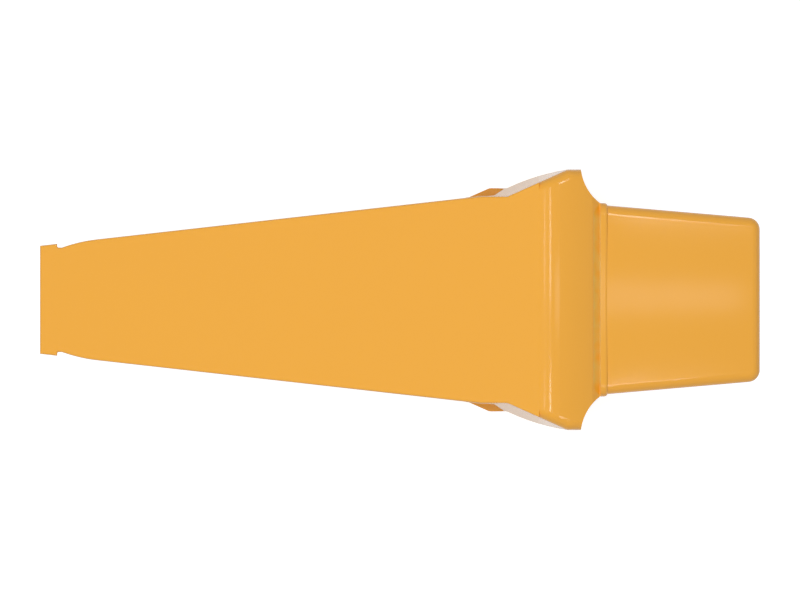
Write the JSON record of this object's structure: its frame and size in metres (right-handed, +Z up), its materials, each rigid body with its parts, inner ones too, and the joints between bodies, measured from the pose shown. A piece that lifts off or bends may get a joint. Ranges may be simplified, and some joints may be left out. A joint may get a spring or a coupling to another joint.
{
  "type": "bucket tooth adapter",
  "caption": "Cast steel weld-on adapter that straddles a digging bucket's lip and carries a replaceable tooth on its wedge nose.",
  "frame": {"origin": "centre of the pin bore, on the nose's centre line", "axes": "+X along the nose to its tip and away from the straps, +Y along the pin bore, +Z up from the lower strap to the upper strap"},
  "size_m": [0.3599, 0.1306, 0.1033],
  "materials": {
    "painted_casting": "glossy orange-yellow enamel over cast steel"
  },
  "bodies": {
    "root": {"adapter_casting": "painted_casting"}
  },
  "joints": []
}
